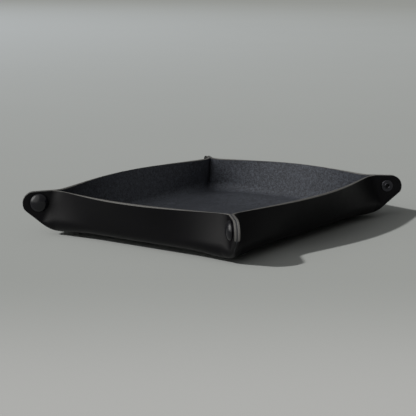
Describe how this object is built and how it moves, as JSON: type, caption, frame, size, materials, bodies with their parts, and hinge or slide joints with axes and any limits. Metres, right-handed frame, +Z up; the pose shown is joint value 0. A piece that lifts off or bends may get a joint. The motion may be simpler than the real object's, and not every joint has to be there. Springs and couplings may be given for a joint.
{
  "type": "valet tray",
  "caption": "Shallow rectangular leather tray whose walls fold up from one sheet and are held at pinched corner ears by press snaps.",
  "frame": {"origin": "centre of the underside, on the table", "axes": "+Z up, +Y along the longer side, +X along the shorter side; the walls named front and back face -Y and +Y"},
  "size_m": [0.1872, 0.2258, 0.0314],
  "materials": {
    "leather": "smooth semi-matte grain outside, rough suede inside",
    "black_metal": "satin black",
    "dark_metal": "black nickel plating",
    "spring_steel": "drawn wire"
  },
  "bodies": {
    "floor": {"floor_panel": "leather"},
    "front_wall": {"front_wall": "leather"},
    "right_wall": {"right_wall": "leather"},
    "back_wall": {"back_wall": "leather"},
    "left_wall": {"left_wall": "leather"},
    "front_wall_front_right_ear": {"front_wall_front_right_ear": "leather", "front_right_snap_cap": "black_metal", "front_right_snap_socket": "dark_metal", "front_right_snap_spring": "spring_steel"},
    "right_wall_front_right_ear": {"right_wall_front_right_ear": "leather", "front_right_snap_stud": "dark_metal", "front_right_snap_post": "dark_metal"},
    "right_wall_back_right_ear": {"right_wall_back_right_ear": "leather", "back_right_snap_stud": "dark_metal", "back_right_snap_post": "dark_metal"},
    "back_wall_back_right_ear": {"back_wall_back_right_ear": "leather", "back_right_snap_cap": "black_metal", "back_right_snap_socket": "dark_metal", "back_right_snap_spring": "spring_steel"},
    "back_wall_back_left_ear": {"back_wall_back_left_ear": "leather", "back_left_snap_cap": "black_metal", "back_left_snap_socket": "dark_metal", "back_left_snap_spring": "spring_steel"},
    "left_wall_back_left_ear": {"left_wall_back_left_ear": "leather", "back_left_snap_stud": "dark_metal", "back_left_snap_post": "dark_metal"},
    "left_wall_front_left_ear": {"left_wall_front_left_ear": "leather", "front_left_snap_stud": "dark_metal", "front_left_snap_post": "dark_metal"},
    "front_wall_front_left_ear": {"front_wall_front_left_ear": "leather", "front_left_snap_cap": "black_metal", "front_left_snap_socket": "dark_metal", "front_left_snap_spring": "spring_steel"}
  },
  "joints": [
    {"name": "right_wall_fold", "type": "hinge", "parent": "floor", "child": "right_wall", "pos_m": [0.08088, 0, 0.00132], "axis": [0, 1, 0], "range_deg": [0, 68]},
    {"name": "front_wall_fold", "type": "hinge", "parent": "floor", "child": "front_wall", "pos_m": [0, -0.10018, 0.00132], "axis": [1, 0, 0], "range_deg": [0, 68]},
    {"name": "back_wall_fold", "type": "hinge", "parent": "floor", "child": "back_wall", "pos_m": [0, 0.10018, 0.00132], "axis": [-1, 0, 0], "range_deg": [0, 68]},
    {"name": "left_wall_fold", "type": "hinge", "parent": "floor", "child": "left_wall", "pos_m": [-0.08088, 0, 0.00132], "axis": [0, -1, 0], "range_deg": [0, 68]},
    {"name": "front_wall_front_right_ear_fold", "type": "hinge", "parent": "front_wall", "child": "front_wall_front_right_ear", "pos_m": [0.07983, -0.10015, -0.00066], "axis": [-0.1843, 0.1843, 0.9654], "range_deg": [0, 20.5]},
    {"name": "right_wall_front_right_ear_fold", "type": "hinge", "parent": "right_wall", "child": "right_wall_front_right_ear", "pos_m": [0.08085, -0.09913, -0.00066], "axis": [0.1843, -0.1843, -0.9654], "range_deg": [0, 20.5]},
    {"name": "right_wall_back_right_ear_fold", "type": "hinge", "parent": "right_wall", "child": "right_wall_back_right_ear", "pos_m": [0.08085, 0.09913, -0.00066], "axis": [-0.1843, -0.1843, 0.9654], "range_deg": [0, 20.5]},
    {"name": "back_wall_back_right_ear_fold", "type": "hinge", "parent": "back_wall", "child": "back_wall_back_right_ear", "pos_m": [0.07983, 0.10015, -0.00066], "axis": [0.1843, 0.1843, -0.9654], "range_deg": [0, 20.5]},
    {"name": "back_wall_back_left_ear_fold", "type": "hinge", "parent": "back_wall", "child": "back_wall_back_left_ear", "pos_m": [-0.07983, 0.10015, -0.00066], "axis": [0.1843, -0.1843, 0.9654], "range_deg": [0, 20.5]},
    {"name": "left_wall_back_left_ear_fold", "type": "hinge", "parent": "left_wall", "child": "left_wall_back_left_ear", "pos_m": [-0.08085, 0.09913, -0.00066], "axis": [-0.1843, 0.1843, -0.9654], "range_deg": [0, 20.5]},
    {"name": "left_wall_front_left_ear_fold", "type": "hinge", "parent": "left_wall", "child": "left_wall_front_left_ear", "pos_m": [-0.08085, -0.09913, -0.00066], "axis": [0.1843, 0.1843, 0.9654], "range_deg": [0, 20.5]},
    {"name": "front_wall_front_left_ear_fold", "type": "hinge", "parent": "front_wall", "child": "front_wall_front_left_ear", "pos_m": [-0.07983, -0.10015, -0.00066], "axis": [-0.1843, -0.1843, -0.9654], "range_deg": [0, 20.5]}
  ],
  "couplings": [
    {"joint": "front_wall_fold", "follows": "right_wall_fold", "ratio": 1},
    {"joint": "back_wall_fold", "follows": "right_wall_fold", "ratio": 1},
    {"joint": "left_wall_fold", "follows": "right_wall_fold", "ratio": 1},
    {"joint": "front_wall_front_right_ear_fold", "follows": "right_wall_fold", "ratio": 0.3},
    {"joint": "right_wall_front_right_ear_fold", "follows": "right_wall_fold", "ratio": 0.3},
    {"joint": "right_wall_back_right_ear_fold", "follows": "right_wall_fold", "ratio": 0.3},
    {"joint": "back_wall_back_right_ear_fold", "follows": "right_wall_fold", "ratio": 0.3},
    {"joint": "back_wall_back_left_ear_fold", "follows": "right_wall_fold", "ratio": 0.3},
    {"joint": "left_wall_back_left_ear_fold", "follows": "right_wall_fold", "ratio": 0.3},
    {"joint": "left_wall_front_left_ear_fold", "follows": "right_wall_fold", "ratio": 0.3},
    {"joint": "front_wall_front_left_ear_fold", "follows": "right_wall_fold", "ratio": 0.3}
  ]
}
